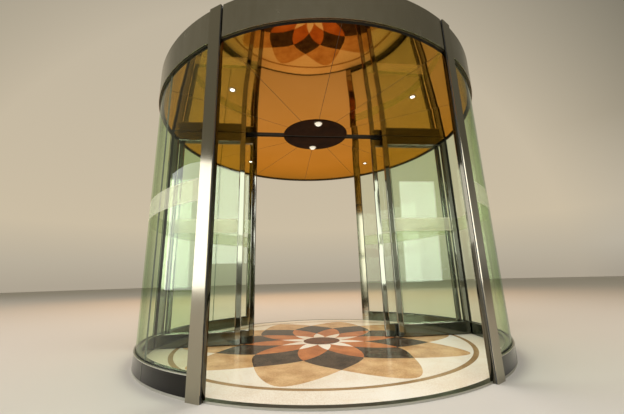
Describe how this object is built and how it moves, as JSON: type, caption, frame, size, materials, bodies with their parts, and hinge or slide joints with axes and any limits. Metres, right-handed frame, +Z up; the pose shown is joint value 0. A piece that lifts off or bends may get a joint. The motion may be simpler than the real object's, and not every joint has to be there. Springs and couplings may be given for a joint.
{
  "type": "two-wing revolving door",
  "caption": "Glazed round drum with a canopy, holding a turning ceiling with fixed side panels and sliding leaves that open a straight way through its centre.",
  "frame": {"origin": "centre of the drum on the ground, under the stone floor", "axes": "+Z up along the turning axis, -Y towards the front doorway, X along the side panels at rest"},
  "size_m": [3.7402, 3.7402, 2.862],
  "materials": {
    "floor_stone": "polished",
    "floor_ring": "satin dark",
    "skirting": "gloss near-black",
    "polished_steel": "polished, bronze tint",
    "black_rubber": "matt",
    "clear_glass": "clear, green edge",
    "soffit_steel": "satin",
    "fascia_steel": "polished, bronze tint",
    "roof_sheet": "matt grey",
    "machine_steel": "satin",
    "lamp_cover": "opal",
    "ceiling_mirror": "polished gold",
    "track_black": "matt black",
    "hub_bronze": "satin dark brown"
  },
  "bodies": {
    "drum": {"floor_stone": "floor_stone", "floor_ring": "floor_ring", "skirting_left": "skirting", "skirting_right": "skirting", "post_front_left": "polished_steel", "post_front_right": "polished_steel", "post_rear_left": "polished_steel", "post_rear_right": "polished_steel", "safety_edges": "black_rubber", "curved_glass_front_left": "clear_glass", "curved_glass_rear_left": "clear_glass", "curved_glass_front_right": "clear_glass", "curved_glass_rear_right": "clear_glass", "canopy_ring": "soffit_steel", "fascia_front": "fascia_steel", "fascia_rear": "fascia_steel", "fascia_left": "fascia_steel", "fascia_right": "fascia_steel", "canopy_roof": "roof_sheet", "cross_beam": "machine_steel"},
    "rotor": {"ceiling_front": "ceiling_mirror", "ceiling_rear": "ceiling_mirror", "track_beam": "track_black", "hub_disc": "hub_bronze", "spindle": "machine_steel", "ceiling_lamps": "lamp_cover", "panel_left_top_rail": "polished_steel", "panel_left_bottom_rail": "polished_steel", "panel_left_inner_stile": "polished_steel", "panel_left_outer_stile": "polished_steel", "panel_left_glass": "clear_glass", "panel_right_top_rail": "polished_steel", "panel_right_bottom_rail": "polished_steel", "panel_right_inner_stile": "polished_steel", "panel_right_outer_stile": "polished_steel", "panel_right_glass": "clear_glass"},
    "leaf_left": {"leaf_left_top_rail": "polished_steel", "leaf_left_bottom_rail": "polished_steel", "leaf_left_nose_stile": "polished_steel", "leaf_left_tail_stile": "polished_steel", "leaf_left_glass": "clear_glass"},
    "leaf_right": {"leaf_right_top_rail": "polished_steel", "leaf_right_bottom_rail": "polished_steel", "leaf_right_nose_stile": "polished_steel", "leaf_right_tail_stile": "polished_steel", "leaf_right_glass": "clear_glass"}
  },
  "joints": [
    {"name": "rotor_turn", "type": "hinge", "parent": "drum", "child": "rotor", "pos_m": [0, 0, 0], "axis": [0, 0, 1], "continuous": true},
    {"name": "leaf_left_slide", "type": "slide", "parent": "rotor", "child": "leaf_left", "axis": [1, 0, 0], "range_m": [0, 0.763]},
    {"name": "leaf_right_slide", "type": "slide", "parent": "rotor", "child": "leaf_right", "axis": [-1, 0, 0], "range_m": [0, 0.763]}
  ],
  "couplings": [
    {"joint": "leaf_right_slide", "follows": "leaf_left_slide", "ratio": 1}
  ]
}
